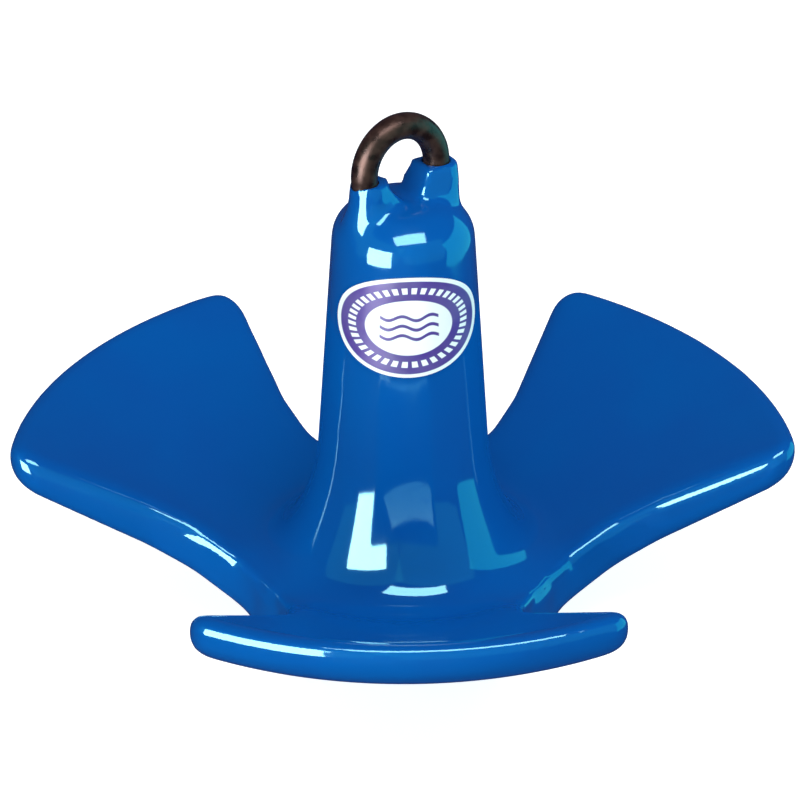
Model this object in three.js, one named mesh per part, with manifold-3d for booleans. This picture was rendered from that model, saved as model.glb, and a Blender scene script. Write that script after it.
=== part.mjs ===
// A three-fluke river anchor. One iron casting carries the trunk, the hub and the three flukes. A bent
// steel rod is cast into the top of the trunk and forms the eye for the rope. The whole casting is dipped
// in soft vinyl, which ends in two collars round the rod's legs, and an oval label is wrapped on the trunk.
// Millimetres, +Z up. The origin is the centre of the flat foot, +X runs along one fluke, and the eye
// stands in the XZ plane.
import * as THREE from 'three';
import { mergeVertices } from 'three/addons/utils/BufferGeometryUtils.js';
import Module from 'manifold-3d';

const RAD = Math.PI / 180;

// Clearances between pieces that touch on the real anchor.
const GAP = {
  coatToCasting: 0.3,
  rodToCasting: 0.3,
  rodToCoat: 0.3,
  labelToCoat: 0.3,
};

const COAT_THICKNESS = 2;

// The foot is the flat disc that the anchor stands on, and the hub is the body between the flukes.
const HUB = {
  footRadius: 34.5,
  radius: 59,
  rimRound: 4.6,
  rimStep: 0.8,
};

// The trunk is a tapered column that flares into the hub and ends in a rounded shoulder and a low dome.
const TRUNK = {
  baseRadius: 30.9,
  baseHeight: 80.6,
  topRadius: 25.4,
  topHeight: 163.6,
  neckRadius: 16,
  neckRise: 11.8,
  domeRise: 13.4,
  domeEdgeInset: 3,
  domeEdgeDrop: 0.6,
  domeFlatRadius: 8,
  flareStart: 12,
  flareDrop: 21,
};

// A fluke is a slab between two cones about the axis, cut to a fan shape in plan.
const FLUKE = {
  count: 3,
  reach: 142,
  rimArcRadius: 155,
  cornerRadius: 9.8,
  sideAngle: 35.75 * RAD,
  sideOrigin: 9.7,
  notchFillet: 45,
  notchBite: 1,
  rootRadius: 18,
  rootHeight: 8,
  topAngle: 26.75 * RAD,
  topConeRadius: 36.6,
  topConeHeight: 26.4,
  undersideAngle: 31 * RAD,
  undersideConeRadius: 36,
  edgeRound: 4.6,
};

// The eye is one rod: an arch, two legs that draw in below it, and two splayed ends held by the casting.
const EYE = {
  rodRadius: 4.76,
  offset: -1.2,
  legInset: 12.3,
  bulge: 1.6,
  equatorAboveDome: 10.9,
  rise: 16.6,
  drawInHeight: 9,
  legLength: 26,
  splay: 2.6,
  splayLength: 18,
};

// The collars are the ends of the coat round the rod's legs, with a web of vinyl down to a V between them.
const COLLAR = {
  wall: 2,
  leftRise: 9.2,
  rightRise: 11,
  rootDepth: 12,
  valleyDepth: 0.4,
  webThickness: 9,
  webBottomLeft: -2,
  webBottomRight: 2,
  webLeftDrop: 2.5,
  webRightDrop: 1.2,
};

const LABEL = {
  azimuth: 240 * RAD,
  belowShoulder: 24.6,
  halfHeight: 19,
  halfArc: 29,
  tipAngle: 88 * RAD,
  thickness: 0.5,
};

// Points closer than this are one point.
const MERGE_DISTANCE = 1e-4;

// Facet counts.
const FACETS = {
  lathe: 36,
  curve: 5,
  flukeAcross: 8,
  flukeStretch: 3,
  edge: 2,
  rodSides: 12,
  rodSteps: 44,
  arch: 6,
  drawIn: 3,
  leg: 2,
  labelAcross: 14,
  labelRows: 12,
};

const wasm = await Module();
wasm.setup();

// Equal shares of a whole, from the first to 1.
function shares(count) {
  return Array.from({ length: count }, (_, n) => (n + 1) / count);
}

// ---------------------------------------------------------------- solids

function toSolid(geometry) {
  const bare = geometry.clone();
  bare.deleteAttribute('normal');
  bare.deleteAttribute('uv');
  const merged = mergeVertices(bare, MERGE_DISTANCE);
  const mesh = new wasm.Mesh({
    numProp: 3,
    vertProperties: merged.attributes.position.array,
    triVerts: new Uint32Array(merged.index.array),
  });
  return new wasm.Manifold(mesh);
}

function toGeometry(solid) {
  const mesh = solid.getMesh();
  const geometry = new THREE.BufferGeometry();
  geometry.setAttribute('position', new THREE.BufferAttribute(mesh.vertProperties, 3));
  geometry.setIndex(new THREE.BufferAttribute(mesh.triVerts, 1));
  geometry.computeVertexNormals();
  return geometry;
}

// A closed solid from a stack of point grids of one size. The first grid is its upper face, the last is its
// lower face, and the borders of the grids between them are joined into its sides.
function solidFromGrids(grids) {
  const corners = [];
  const addQuad = (a, b, c, d) => corners.push(a, b, c, a, c, d);
  const addFace = (grid, upper) => {
    for (let i = 0; i + 1 < grid.length; i += 1) {
      for (let j = 0; j + 1 < grid[i].length; j += 1) {
        const quad = [grid[i][j], grid[i + 1][j], grid[i + 1][j + 1], grid[i][j + 1]];
        addQuad(...(upper ? quad : quad.reverse()));
      }
    }
  };
  addFace(grids[0], true);
  addFace(grids[grids.length - 1], false);
  const borders = grids.map(gridBorder);
  for (let k = 0; k + 1 < borders.length; k += 1) {
    borders[k].forEach((point, n) => {
      const next = (n + 1) % borders[k].length;
      addQuad(point, borders[k + 1][n], borders[k + 1][next], borders[k][next]);
    });
  }
  return toSolid(new THREE.BufferGeometry().setFromPoints(corners));
}

// The border of a grid, in the order that turns left round its upper side.
function gridBorder(grid) {
  const last = grid.length - 1;
  const end = grid[0].length - 1;
  return [
    ...grid.map((row) => row[0]).slice(0, last),
    ...grid[last].slice(0, end),
    ...grid.map((row) => row[end]).slice(1).reverse(),
    ...grid[0].slice(1).reverse(),
  ];
}

// ---------------------------------------------------------------- hub and trunk

function trunkRadiusAt(height) {
  const share = (height - TRUNK.baseHeight) / (TRUNK.topHeight - TRUNK.baseHeight);
  return THREE.MathUtils.lerp(TRUNK.baseRadius, TRUNK.topRadius, share);
}

function domeHeight() {
  return TRUNK.topHeight + TRUNK.domeRise;
}

// The outline of the column from the middle of the foot to the middle of the dome, as radius and height.
function columnProfile() {
  const rimInner = HUB.radius - HUB.rimRound;
  const rimBottom = flukeUnderside(rimInner, 0) - HUB.rimStep;
  const rimTop = flukeTop(rimInner, 0) + HUB.rimStep;
  const neckHeight = TRUNK.topHeight + TRUNK.neckRise;
  const taper = (TRUNK.baseRadius - TRUNK.topRadius) / (TRUNK.topHeight - TRUNK.baseHeight);
  const path = new THREE.Path();
  path.moveTo(HUB.footRadius, 0);
  path.lineTo(rimInner, rimBottom);
  path.quadraticCurveTo(HUB.radius, rimBottom + HUB.rimRound / 2, HUB.radius, rimBottom + HUB.rimRound);
  path.lineTo(HUB.radius, rimTop - HUB.rimRound);
  path.quadraticCurveTo(HUB.radius, rimTop, rimInner, rimTop);
  path.bezierCurveTo(
    rimInner - TRUNK.flareStart, rimTop,
    TRUNK.baseRadius + TRUNK.flareDrop * taper, TRUNK.baseHeight - TRUNK.flareDrop,
    TRUNK.baseRadius, TRUNK.baseHeight,
  );
  path.lineTo(TRUNK.topRadius, TRUNK.topHeight);
  path.quadraticCurveTo(
    TRUNK.topRadius - taper * TRUNK.neckRise, TRUNK.topHeight + TRUNK.neckRise / 2,
    TRUNK.neckRadius, neckHeight,
  );
  path.lineTo(TRUNK.neckRadius - TRUNK.domeEdgeInset, domeHeight() - TRUNK.domeEdgeDrop);
  path.lineTo(TRUNK.domeFlatRadius, domeHeight());
  return path.getPoints(FACETS.curve);
}

// The same outline moved inward by a skin, square to itself, and closed on the axis.
function insetProfile(points, skin) {
  const normals = points.slice(1).map((point, n) => {
    const along = point.clone().sub(points[n]).normalize();
    return new THREE.Vector2(-along.y, along.x);
  });
  const floor = new THREE.Vector2(0, 1);
  const ceiling = new THREE.Vector2(0, -1);
  const inset = points.map((point, n) => {
    const before = n > 0 ? normals[n - 1] : floor;
    const after = n < normals.length ? normals[n] : ceiling;
    const miter = before.clone().add(after).normalize();
    return point.clone().addScaledVector(miter, skin / miter.dot(before));
  });
  const bottom = new THREE.Vector2(0, inset[0].y);
  const top = new THREE.Vector2(0, inset[inset.length - 1].y);
  return [bottom, ...inset, top];
}

function column(skin) {
  const lathe = new THREE.LatheGeometry(insetProfile(columnProfile(), skin), FACETS.lathe);
  return toSolid(lathe.rotateX(90 * RAD));
}

// ---------------------------------------------------------------- flukes

// The side of a fluke in plan is a straight line that leans away from the centre line, joined by a fillet
// to the hub and by a rounded corner to the rim. Everything is given for the side at positive Y.
const sideNormal = new THREE.Vector2(-Math.sin(FLUKE.sideAngle), Math.cos(FLUKE.sideAngle));
const sideDirection = new THREE.Vector2(Math.cos(FLUKE.sideAngle), Math.sin(FLUKE.sideAngle));
const sideDistance = FLUKE.sideOrigin * Math.sin(FLUKE.sideAngle);
const rimCentreX = FLUKE.reach - FLUKE.rimArcRadius;

// The point at a distance along the side's direction and a distance out from the line through the axis.
function sideFrame(along, out) {
  return sideDirection.clone().multiplyScalar(along).addScaledVector(sideNormal, out);
}

function filletCentre() {
  const out = FLUKE.notchFillet - sideDistance;
  const fromAxis = HUB.radius - FLUKE.notchBite + FLUKE.notchFillet;
  return sideFrame(Math.sqrt(fromAxis ** 2 - out ** 2), out);
}

function cornerCentre() {
  const out = -sideDistance - FLUKE.cornerRadius;
  const rimCentre = new THREE.Vector2(rimCentreX, 0);
  const fromRimCentre = FLUKE.rimArcRadius - FLUKE.cornerRadius;
  const outFromRim = out - rimCentre.dot(sideNormal);
  const along = Math.sqrt(fromRimCentre ** 2 - outFromRim ** 2) + rimCentre.dot(sideDirection);
  return sideFrame(along, out);
}

function arcPoints(centre, radius, startDirection, endDirection) {
  const start = startDirection.angle();
  const turn = THREE.MathUtils.euclideanModulo(endDirection.angle() - start + Math.PI, 2 * Math.PI) - Math.PI;
  return Array.from({ length: FACETS.flukeStretch + 1 }, (_, n) => {
    const angle = start + (turn * n) / FACETS.flukeStretch;
    return new THREE.Vector2(Math.cos(angle), Math.sin(angle)).multiplyScalar(radius).add(centre);
  });
}

// Points from the root to the end of the rim, moved inward by an inset.
function sideOutline(inset) {
  const notch = filletCentre();
  const corner = cornerCentre();
  const rimCentre = new THREE.Vector2(rimCentreX, 0);
  const towardAxis = notch.clone().negate();
  const towardSide = sideNormal.clone().negate();
  const fillet = arcPoints(notch, FLUKE.notchFillet + inset, towardAxis, towardSide);
  const rounded = arcPoints(corner, FLUKE.cornerRadius - inset, sideNormal, corner.clone().sub(rimCentre));
  const root = notch.clone().setLength(FLUKE.rootRadius + inset);
  const lineStart = fillet[fillet.length - 1];
  const between = shares(FACETS.flukeStretch).slice(0, -1);
  const straight = between.map((share) => lineStart.clone().lerp(rounded[0], share));
  return [root, ...fillet, ...straight, ...rounded];
}

// Rows of plan points across the fluke. A row is an arc about a centre that moves from the axis, at the hub,
// to the centre of the rim's own arc.
function planGrid(inset) {
  return sideOutline(inset).map((side) => {
    const share = (side.length() - HUB.radius) / (FLUKE.reach - FLUKE.cornerRadius - HUB.radius);
    const centreX = rimCentreX * THREE.MathUtils.clamp(share, 0, 1);
    const radius = Math.hypot(side.x - centreX, side.y);
    const halfAngle = Math.atan2(side.y, side.x - centreX);
    return Array.from({ length: FACETS.flukeAcross + 1 }, (_, n) => {
      const angle = halfAngle * ((2 * n) / FACETS.flukeAcross - 1);
      return new THREE.Vector2(centreX + radius * Math.cos(angle), radius * Math.sin(angle));
    });
  });
}

function flukeTop(radius, skin) {
  const height = FLUKE.topConeHeight + (radius - FLUKE.topConeRadius) * Math.tan(FLUKE.topAngle);
  return height - skin / Math.cos(FLUKE.topAngle);
}

function flukeUnderside(radius, skin) {
  const height = (radius - FLUKE.undersideConeRadius) * Math.tan(FLUKE.undersideAngle);
  const cone = height + skin / Math.cos(FLUKE.undersideAngle);
  return radius < HUB.footRadius ? FLUKE.rootHeight + skin : cone;
}

function fluke(skin, index) {
  const round = FLUKE.edgeRound - skin;
  const steps = Array.from({ length: FACETS.edge + 1 }, (_, n) => (n / FACETS.edge) * 90 * RAD);
  const upper = steps.map((angle) => {
    const drop = round * (1 - Math.cos(angle));
    const inset = skin + round * (1 - Math.sin(angle));
    return planGrid(inset).map((row) => row.map((p) => (
      new THREE.Vector3(p.x, p.y, flukeTop(p.length(), skin) - drop)
    )));
  });
  const lower = steps.map((angle) => {
    const lift = round * (1 - Math.cos(angle));
    const inset = skin + round * (1 - Math.sin(angle));
    return planGrid(inset).map((row) => row.map((p) => (
      new THREE.Vector3(p.x, p.y, flukeUnderside(p.length(), skin) + lift)
    )));
  });
  const solid = solidFromGrids([...upper, ...lower.reverse()]);
  return solid.rotate([0, 0, (360 / FLUKE.count) * index]);
}

// The body of the anchor inside a given skin: 0 is the outside of the coat.
function body(skin) {
  let solid = column(skin);
  for (let index = 0; index < FLUKE.count; index += 1) {
    solid = solid.add(fluke(skin, index));
  }
  return solid;
}

// ---------------------------------------------------------------- eye

// The legs stand a set distance inside the trunk's shoulder, so they keep their wall of iron.
function legHalfSpacing() {
  return TRUNK.topRadius - EYE.legInset;
}

function equatorHeight() {
  return domeHeight() + EYE.equatorAboveDome;
}

// The centre line of one leg, from the equator of the arch down to the splayed end.
function legPoints(side) {
  const spacing = legHalfSpacing();
  const legTop = equatorHeight() - EYE.drawInHeight;
  const legBottom = legTop - EYE.legLength;
  const upper = [0, ...shares(FACETS.drawIn)].map((t) => [
    spacing + (EYE.bulge / 2) * (1 + Math.cos(Math.PI * t)),
    equatorHeight() - EYE.drawInHeight * t,
  ]);
  const lower = shares(FACETS.leg).map((t) => [spacing, legTop - EYE.legLength * t]);
  const end = shares(FACETS.leg).map((t) => [
    spacing + EYE.splay * t,
    legBottom - EYE.splayLength * t,
  ]);
  return [...upper, ...lower, ...end].map(([x, z]) => new THREE.Vector3(EYE.offset + side * x, 0, z));
}

// The points of the arch between its two ends, from left to right.
function archPoints() {
  return shares(FACETS.arch).slice(0, -1).map((share) => {
    const angle = Math.PI * (1 - share);
    const x = EYE.offset + (legHalfSpacing() + EYE.bulge) * Math.cos(angle);
    return new THREE.Vector3(x, 0, equatorHeight() + EYE.rise * Math.sin(angle));
  });
}

function roundBar(points, radius, steps) {
  const section = new THREE.Shape();
  for (let n = 0; n < FACETS.rodSides; n += 1) {
    const angle = (n / FACETS.rodSides) * 2 * Math.PI;
    const place = [radius * Math.cos(angle), radius * Math.sin(angle)];
    if (n === 0) {
      section.moveTo(...place);
    } else {
      section.lineTo(...place);
    }
  }
  const path = new THREE.CatmullRomCurve3(points);
  return toSolid(new THREE.ExtrudeGeometry(section, { extrudePath: path, steps }));
}

// The eye's rod with a clearance added all round it.
function rod(clearance) {
  const points = [...legPoints(-1).reverse(), ...archPoints(), ...legPoints(1)];
  const first = points[0];
  const last = points[points.length - 1];
  first.z -= clearance;
  last.z -= clearance;
  return roundBar(points, EYE.rodRadius + clearance, FACETS.rodSteps);
}

// ---------------------------------------------------------------- coat

function collar(side, rise) {
  const bottom = domeHeight() - COLLAR.rootDepth;
  const top = domeHeight() + rise;
  const radius = EYE.rodRadius + GAP.rodToCoat + COLLAR.wall;
  const x = EYE.offset + side * legHalfSpacing();
  const geometry = new THREE.CylinderGeometry(radius, radius, top - bottom, 2 * FACETS.rodSides);
  geometry.rotateX(90 * RAD);
  geometry.translate(x, 0, (top + bottom) / 2);
  return toSolid(geometry);
}

// The web is a plate between the legs whose top edge dips to a V.
function collarWeb() {
  const left = EYE.offset - legHalfSpacing();
  const right = EYE.offset + legHalfSpacing();
  const leftTop = domeHeight() + COLLAR.leftRise - COLLAR.webLeftDrop;
  const rightTop = domeHeight() + COLLAR.rightRise - COLLAR.webRightDrop;
  const valley = domeHeight() - COLLAR.valleyDepth;
  const inner = EYE.rodRadius + GAP.rodToCoat;
  const bottom = domeHeight() - COLLAR.rootDepth;
  const outline = new THREE.Shape([
    new THREE.Vector2(left, bottom),
    new THREE.Vector2(right, bottom),
    new THREE.Vector2(right, rightTop),
    new THREE.Vector2(right - inner, rightTop),
    new THREE.Vector2(COLLAR.webBottomRight, valley),
    new THREE.Vector2(COLLAR.webBottomLeft, valley),
    new THREE.Vector2(left + inner, leftTop),
    new THREE.Vector2(left, leftTop),
  ]);
  const plate = new THREE.ExtrudeGeometry(outline, { depth: COLLAR.webThickness, bevelEnabled: false });
  plate.translate(0, 0, -COLLAR.webThickness / 2);
  return toSolid(plate.rotateX(90 * RAD));
}

function coatSolid() {
  return body(0)
    .add(collar(-1, COLLAR.leftRise))
    .add(collar(1, COLLAR.rightRise))
    .add(collarWeb())
    .subtract(body(COAT_THICKNESS))
    .subtract(rod(GAP.rodToCoat));
}

function castingSolid() {
  return body(COAT_THICKNESS + GAP.coatToCasting).subtract(rod(GAP.rodToCasting));
}

// ---------------------------------------------------------------- label

function labelFace(offset) {
  const centre = TRUNK.topHeight - LABEL.belowShoulder;
  return Array.from({ length: FACETS.labelRows + 1 }, (_, i) => {
    const lift = LABEL.tipAngle * ((2 * i) / FACETS.labelRows - 1);
    const height = centre + LABEL.halfHeight * Math.sin(lift);
    const radius = trunkRadiusAt(height) + offset;
    const halfAngle = (LABEL.halfArc * Math.cos(lift)) / radius;
    return Array.from({ length: FACETS.labelAcross + 1 }, (__, j) => {
      const angle = LABEL.azimuth + halfAngle * ((2 * j) / FACETS.labelAcross - 1);
      return new THREE.Vector3(radius * Math.cos(angle), radius * Math.sin(angle), height);
    });
  });
}

function labelSolid() {
  const inner = GAP.labelToCoat;
  return solidFromGrids([labelFace(inner), labelFace(inner + LABEL.thickness)]);
}

// ---------------------------------------------------------------- the anchor

const FINISHES = {
  castIron: { color: 0x3b3a3a, roughness: 0.75, metalness: 0.6 },
  forgedSteel: { color: 0x46302a, roughness: 0.35, metalness: 0.85 },
  blueVinyl: { color: 0x0060b4, roughness: 0.12, metalness: 0 },
  printedLabel: { color: 0xe8eaf2, roughness: 0.3, metalness: 0 },
};

function addPiece(group, name, solid, finish) {
  const mesh = new THREE.Mesh(toGeometry(solid), new THREE.MeshStandardMaterial(finish));
  mesh.name = name;
  group.add(mesh);
}

const anchor = new THREE.Group();
addPiece(anchor, 'iron_casting', castingSolid(), FINISHES.castIron);
addPiece(anchor, 'steel_eye', rod(0), FINISHES.forgedSteel);
addPiece(anchor, 'vinyl_coat', coatSolid(), FINISHES.blueVinyl);
addPiece(anchor, 'label', labelSolid(), FINISHES.printedLabel);

export default anchor;
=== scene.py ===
"""A river anchor with three flukes, dipped in glossy blue vinyl, standing in a plain studio.

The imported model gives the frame. Its iron casting stays as it is, inside the coat. The coat, the steel eye
and the label are modelled again here with fine surfaces, each in the place of its node of the frame.
Everything is in metres, with +Z up and the origin at the centre of the foot.
"""
import logging
import math
from collections.abc import Callable, Iterator
from contextlib import contextmanager
from dataclasses import dataclass, field
from enum import Enum

import bmesh
import bpy
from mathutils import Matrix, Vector


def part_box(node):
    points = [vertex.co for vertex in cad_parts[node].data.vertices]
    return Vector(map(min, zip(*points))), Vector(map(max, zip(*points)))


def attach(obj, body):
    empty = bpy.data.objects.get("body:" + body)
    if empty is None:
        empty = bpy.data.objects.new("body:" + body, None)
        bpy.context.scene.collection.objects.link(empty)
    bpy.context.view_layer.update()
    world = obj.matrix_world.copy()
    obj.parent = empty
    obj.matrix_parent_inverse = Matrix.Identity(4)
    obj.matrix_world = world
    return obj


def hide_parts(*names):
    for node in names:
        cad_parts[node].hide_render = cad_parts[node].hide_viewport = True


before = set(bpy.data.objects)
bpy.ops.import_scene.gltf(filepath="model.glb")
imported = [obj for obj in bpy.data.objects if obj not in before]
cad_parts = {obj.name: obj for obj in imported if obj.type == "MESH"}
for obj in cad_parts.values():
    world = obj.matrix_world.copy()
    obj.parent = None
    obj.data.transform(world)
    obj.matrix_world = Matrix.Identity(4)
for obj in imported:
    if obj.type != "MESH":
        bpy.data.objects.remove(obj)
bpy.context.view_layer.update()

log = logging.getLogger("river_anchor")
ROOT_BODY = "root"
MM = 0.001

DOUBLES = 0.01 * MM
FACING = 0.9
SMOOTH_ANGLE = math.radians(40)

Point = tuple[float, float]
Colour = tuple[float, float, float]
Piece = bpy.types.Object
Socket = bpy.types.NodeSocket


# ------------------------------------------------------------------ frame


class Node(str, Enum):
    """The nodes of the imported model."""

    CASTING = "iron_casting"
    EYE = "steel_eye"
    COAT = "vinyl_coat"
    LABEL = "label"


class Slot(str, Enum):
    """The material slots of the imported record."""

    IRON = "cast_iron"
    STEEL = "forged_steel"
    VINYL = "blue_vinyl"
    LABEL = "label"


@dataclass(frozen=True)
class Clearance:
    """The gaps between neighbouring pieces, as in the frame."""

    coat_to_casting: float = 0.3 * MM
    coat_to_rod: float = 0.3 * MM
    label_to_coat: float = 0.3 * MM
    coat_wall: float = 2.0 * MM


@dataclass(frozen=True)
class FrameSizes:
    """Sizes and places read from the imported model.

    Attributes:
        reach: Distance from the axis to the middle of a fluke's rim.
        dome: Height of the coat's dome between the rod's legs.
        collar_top: Height of the taller collar.
        eye_middle: Place of the eye along X.
        eye_half_width: Half the width across the eye.
        eye_top: Height of the top of the eye.
        eye_bottom: Height of the rod's two ends.
        label_height: Height of the label's middle.
        label_azimuth: Direction that the label faces, from +X.
    """

    reach: float
    dome: float
    collar_top: float
    eye_middle: float
    eye_half_width: float
    eye_top: float
    eye_bottom: float
    label_height: float
    label_azimuth: float

    @classmethod
    def measured(cls, gaps: Clearance) -> "FrameSizes":
        """Measures the nodes of the frame.

        Args:
            gaps: The clearances between the pieces.

        Returns:
            The sizes that the new pieces are built to.
        """
        coat_low, coat_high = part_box(Node.COAT.value)
        eye_low, eye_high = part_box(Node.EYE.value)
        label_low, label_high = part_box(Node.LABEL.value)
        casting_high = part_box(Node.CASTING.value)[1]
        label_middle = (label_low + label_high) / 2
        return cls(
            reach=coat_high.x,
            dome=casting_high.z + gaps.coat_wall + gaps.coat_to_casting,
            collar_top=coat_high.z,
            eye_middle=(eye_low.x + eye_high.x) / 2,
            eye_half_width=(eye_high.x - eye_low.x) / 2,
            eye_top=eye_high.z,
            eye_bottom=eye_low.z,
            label_height=label_middle.z,
            label_azimuth=math.atan2(label_middle.y, label_middle.x),
        )


# ------------------------------------------------------------------ modelling by hand


def pick_only(piece: Piece) -> None:
    """Makes one piece the only selected and the active one.

    Args:
        piece: The piece to pick.
    """
    bpy.ops.object.select_all(action="DESELECT")
    piece.select_set(True)
    bpy.context.view_layer.objects.active = piece


@contextmanager
def editing(piece: Piece, element: str = "FACE") -> Iterator[None]:
    """Opens a piece in edit mode with nothing selected, and closes it again.

    Args:
        piece: The piece to edit.
        element: What is selected in it: VERT, EDGE or FACE.
    """
    pick_only(piece)
    bpy.ops.object.mode_set(mode="EDIT")
    bpy.ops.mesh.select_mode(type=element)
    bpy.ops.mesh.select_all(action="DESELECT")
    try:
        yield
    finally:
        bpy.ops.object.mode_set(mode="OBJECT")


def select_faces(piece: Piece, test: Callable[[Vector, Vector], bool]) -> None:
    """Selects the faces of the edited piece that pass a test.

    Args:
        piece: The piece in edit mode.
        test: Says yes or no from a face's middle and its normal.
    """
    mesh = bmesh.from_edit_mesh(piece.data)
    for face in mesh.faces:
        face.select_set(test(face.calc_center_median(), face.normal))
    bmesh.update_edit_mesh(piece.data)


def select_edges(piece: Piece, test: Callable[[Vector, Vector], bool]) -> None:
    """Selects the edges of the edited piece that pass a test.

    Args:
        piece: The piece in edit mode.
        test: Says yes or no from an edge's two ends.
    """
    mesh = bmesh.from_edit_mesh(piece.data)
    for edge in mesh.edges:
        edge.select_set(test(edge.verts[0].co, edge.verts[1].co))
    bmesh.update_edit_mesh(piece.data)


def named(name: str) -> Piece:
    """Names the object that was just added, and returns it."""
    piece = bpy.context.view_layer.objects.active
    piece.name = name
    piece.data.name = name
    return piece


def settle(piece: Piece) -> Piece:
    """Moves a piece's place, turn and scale into its mesh, so that its object sits at the origin.

    Args:
        piece: The piece to settle.

    Returns:
        The same piece.
    """
    pick_only(piece)
    bpy.ops.object.transform_apply(location=True, rotation=True, scale=True)
    return piece


def shape_with(piece: Piece, kind: str, **settings: object) -> None:
    """Adds one modifier to a piece, sets it and applies it.

    Args:
        piece: The piece to shape.
        kind: The modifier's type.
        **settings: The modifier's own settings.
    """
    pick_only(piece)
    modifier = piece.modifiers.new(kind.lower(), kind)
    for key, value in settings.items():
        setattr(modifier, key, value)
    bpy.ops.object.modifier_apply(modifier=modifier.name)


def cut_away(piece: Piece, cutter: Piece) -> None:
    """Cuts one closed piece with another and removes the cutter.

    Args:
        piece: The piece that is cut.
        cutter: The solid that is taken away.
    """
    shape_with(piece, "BOOLEAN", operation="DIFFERENCE", object=cutter, solver="MANIFOLD")
    bpy.data.objects.remove(cutter)


def joined(pieces: list[Piece], name: str) -> Piece:
    """Joins several objects into one.

    Args:
        pieces: The objects, of which the first one stays.
        name: The name of the result.

    Returns:
        The joined object.
    """
    pick_only(pieces[0])
    for other in pieces[1:]:
        other.select_set(True)
    bpy.ops.object.join()
    return named(name)


def turned_outward(piece: Piece) -> None:
    """Merges a piece's doubles and turns all its faces outward."""
    with editing(piece, "VERT"):
        bpy.ops.mesh.select_all(action="SELECT")
        bpy.ops.mesh.remove_doubles(threshold=DOUBLES)
        bpy.ops.mesh.normals_make_consistent(inside=False)


def raised_rings(
    name: str, stations: list[Point], sides: int, middle: Point = (0.0, 0.0)
) -> Piece:
    """Draws a closed round body upward from its lowest ring, ring by ring.

    Args:
        name: The name of the body.
        stations: Radius and height of each ring, from the bottom to the top.
        sides: The number of sides of a ring.
        middle: Where the body's axis stands, as X and Y.

    Returns:
        The round body.
    """
    radius, height = stations[0]
    bpy.ops.mesh.primitive_circle_add(
        vertices=sides, radius=radius, fill_type="NGON", location=(*middle, height)
    )
    body = settle(named(name))
    with editing(body):
        bpy.ops.mesh.select_all(action="SELECT")
        for next_radius, next_height in stations[1:]:
            bpy.ops.mesh.extrude_region_move(
                TRANSFORM_OT_translate={"value": (0.0, 0.0, next_height - height)}
            )
            ratio = next_radius / radius
            bpy.ops.transform.resize(
                value=(ratio, ratio, 1.0), center_override=(*middle, next_height)
            )
            radius, height = next_radius, next_height
    turned_outward(body)
    return body


def curve_points(controls: list[Point], steps: int) -> list[Point]:
    """Points of a Bezier curve after its start.

    Args:
        controls: The start, the points that pull the curve, and the end.
        steps: How many points to give.

    Returns:
        The points, without the start and with the end.
    """
    degree = len(controls) - 1
    points = []
    for n in range(1, steps + 1):
        t = n / steps
        weights = [math.comb(degree, k) * (1 - t) ** (degree - k) * t ** k for k in range(degree + 1)]
        points.append(tuple(sum(w * p[axis] for w, p in zip(weights, controls)) for axis in range(2)))
    return points


def soft_step(band: Point, value: float) -> float:
    """A soft step from 0 at the start of a band to 1 at its end."""
    low, high = band
    share = min(max((value - low) / (high - low), 0.0), 1.0)
    return share * share * (3 - 2 * share)


# ------------------------------------------------------------------ shader node helpers


class Shader:
    """The node tree of one material or node group, with short ways to add to it."""

    def __init__(self, tree: bpy.types.NodeTree) -> None:
        """Keeps the tree.

        Args:
            tree: The node tree to add to.
        """
        self.tree = tree

    def add(self, kind: str, **settings: object) -> bpy.types.Node:
        """Adds a node.

        Args:
            kind: The node's type without its Shader prefix.
            **settings: Properties of the node, or values of its inputs by name with underscores.

        Returns:
            The new node.
        """
        node = self.tree.nodes.new("ShaderNode" + kind)
        for key, value in settings.items():
            if hasattr(node, key):
                setattr(node, key, value)
            else:
                node.inputs[key.replace("_", " ")].default_value = value
        return node

    def link(self, source: Socket, target: Socket) -> None:
        """Links two sockets."""
        self.tree.links.new(source, target)

    def math(self, operation: str, first: object, second: object = None) -> Socket:
        """Adds a Math node.

        Args:
            operation: What it does.
            first: A socket or a number.
            second: A socket or a number, or None where it has one input.

        Returns:
            The result's socket.
        """
        node = self.add("Math", operation=operation)
        for slot, value in enumerate((first, second)):
            if isinstance(value, Socket):
                self.link(value, node.inputs[slot])
            elif value is not None:
                node.inputs[slot].default_value = value
        return node.outputs[0]

    def ramp(self, mask: Socket, low: float, high: float) -> Socket:
        """Stretches a mask so that it runs from 0 at low to 1 at high.

        Args:
            mask: The mask's socket.
            low: The value that becomes 0.
            high: The value that becomes 1.

        Returns:
            The stretched mask.
        """
        node = self.add("MapRange", From_Min=low, From_Max=high)
        node.interpolation_type = "SMOOTHSTEP"
        self.link(mask, node.inputs["Value"])
        return node.outputs["Result"]

    def blend(self, mask: Socket, first: object, second: object) -> Socket:
        """Mixes two colours by a mask.

        Args:
            mask: 0 gives the first colour and 1 the second.
            first: A colour or a socket.
            second: A colour or a socket.

        Returns:
            The mixed colour.
        """
        node = self.add("Mix", data_type="RGBA")
        self.link(mask, node.inputs["Factor"])
        for slot, value in (("A", first), ("B", second)):
            socket = [s for s in node.inputs if s.name == slot and s.type == "RGBA"][0]
            if isinstance(value, Socket):
                self.link(value, socket)
            else:
                socket.default_value = (*value, 1.0)
        return [s for s in node.outputs if s.type == "RGBA"][0]


def new_material(name: str) -> tuple[bpy.types.Material, Shader, bpy.types.Node]:
    """Starts a material.

    Args:
        name: The material's name.

    Returns:
        The material, its shader helper and its Principled node.
    """
    material = bpy.data.materials.new(name)
    material.use_nodes = True
    shader = Shader(material.node_tree)
    principled = material.node_tree.nodes["Principled BSDF"]
    return material, shader, principled


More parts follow.
